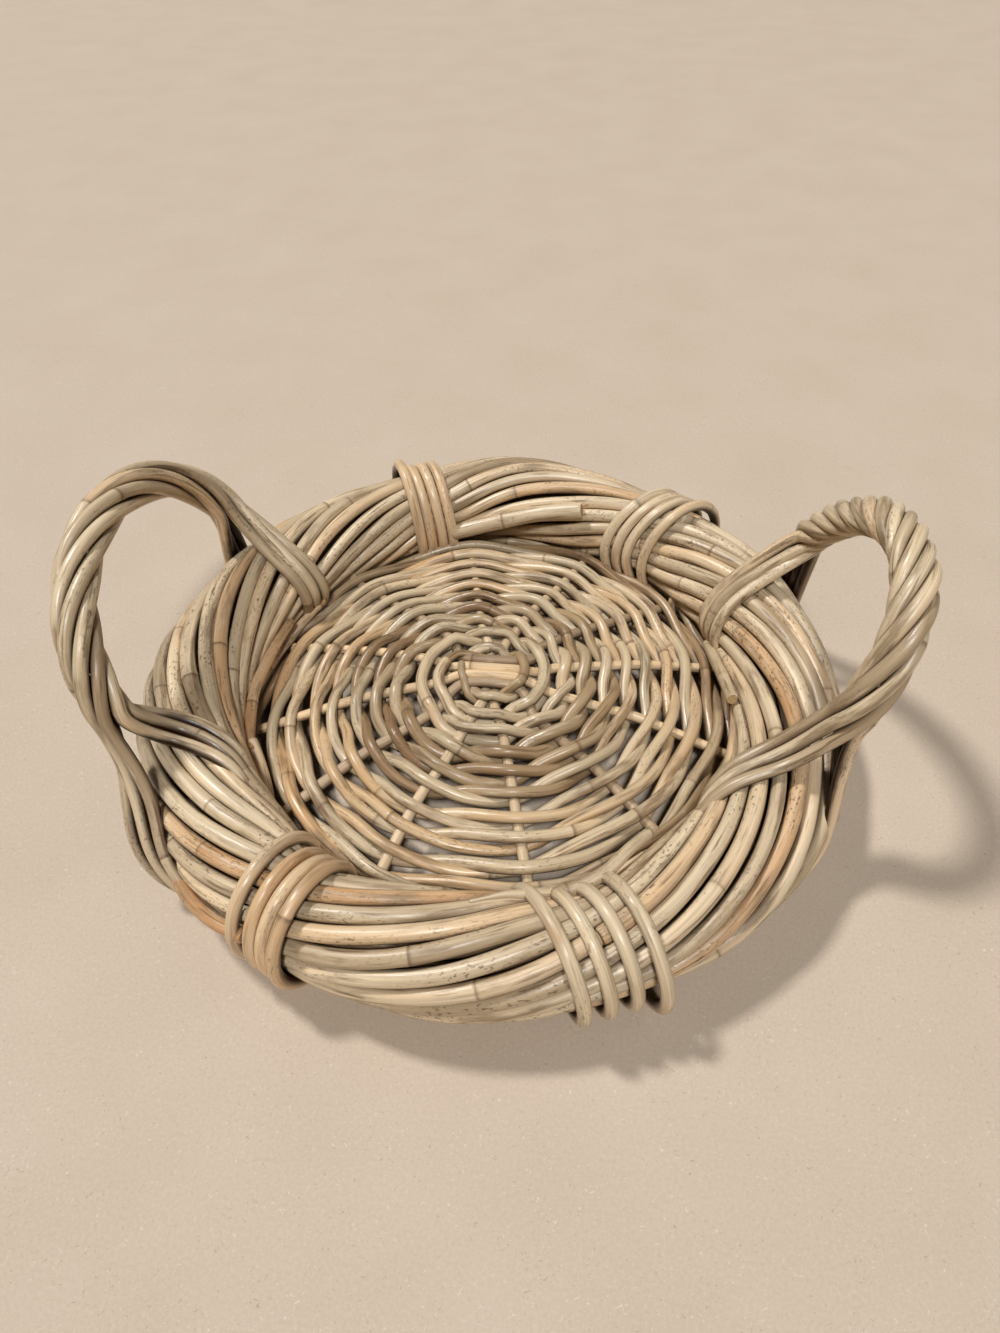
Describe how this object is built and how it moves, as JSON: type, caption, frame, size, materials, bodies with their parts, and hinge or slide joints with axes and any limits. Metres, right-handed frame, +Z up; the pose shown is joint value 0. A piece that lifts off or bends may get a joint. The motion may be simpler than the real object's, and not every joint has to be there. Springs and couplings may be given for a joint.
{
  "type": "wicker serving tray",
  "caption": "Round wicker serving tray: a crowned woven base inside a thick rolled rim that is tied with cane lashings, and a twisted rope handle at each side.",
  "frame": {"origin": "middle of the tray, on the surface that it stands on", "axes": "+X through the middle of the right handle, +Y to the back, +Z up"},
  "size_m": [0.3853, 0.3603, 0.1421],
  "materials": {
    "rim_cane": "satin cane with its bark on",
    "rim_core": "dull cane, hidden in the roll",
    "lashing_cane": "satin honey-coloured cane",
    "stick_cane": "peeled pale cane",
    "base_cane": "satin cane with its bark on",
    "handle_cane": "satin cane with its bark on"
  },
  "bodies": {
    "root": {"rim_cane_1": "rim_cane", "rim_cane_2": "rim_cane", "rim_cane_3": "rim_cane", "rim_cane_4": "rim_cane", "rim_cane_5": "rim_cane", "rim_cane_6": "rim_cane", "rim_cane_7": "rim_cane", "rim_cane_8": "rim_cane", "rim_cane_9": "rim_cane", "rim_cane_10": "rim_cane", "rim_cane_11": "rim_cane", "rim_cane_12": "rim_cane", "rim_cane_13": "rim_cane", "rim_cane_14": "rim_cane", "rim_cane_15": "rim_cane", "rim_cane_16": "rim_cane", "rim_core": "rim_core", "front_left_lashing": "lashing_cane", "front_right_lashing": "lashing_cane", "back_right_lashing": "lashing_cane", "back_left_lashing": "lashing_cane", "cross_stick_1": "stick_cane", "cross_stick_2": "stick_cane", "cross_stick_3": "stick_cane", "cross_stick_4": "stick_cane", "long_stick_1": "stick_cane", "long_stick_2": "stick_cane", "weaver_1_a": "base_cane", "weaver_1_b": "base_cane", "weaver_2_a": "base_cane", "weaver_2_b": "base_cane", "weaver_3_a": "base_cane", "weaver_3_b": "base_cane", "stake_1": "base_cane", "stake_2": "base_cane", "stake_4": "base_cane", "stake_5": "base_cane", "stake_7": "base_cane", "stake_8": "base_cane", "stake_9": "base_cane", "stake_10": "base_cane", "right_handle_cane_1": "handle_cane", "right_handle_cane_2": "handle_cane", "right_handle_cane_3": "handle_cane", "right_handle_cane_4": "handle_cane", "right_handle_cane_5": "handle_cane", "right_handle_cane_6": "handle_cane", "left_handle_cane_1": "handle_cane", "left_handle_cane_2": "handle_cane", "left_handle_cane_3": "handle_cane", "left_handle_cane_4": "handle_cane", "left_handle_cane_5": "handle_cane", "left_handle_cane_6": "handle_cane"}
  },
  "joints": []
}
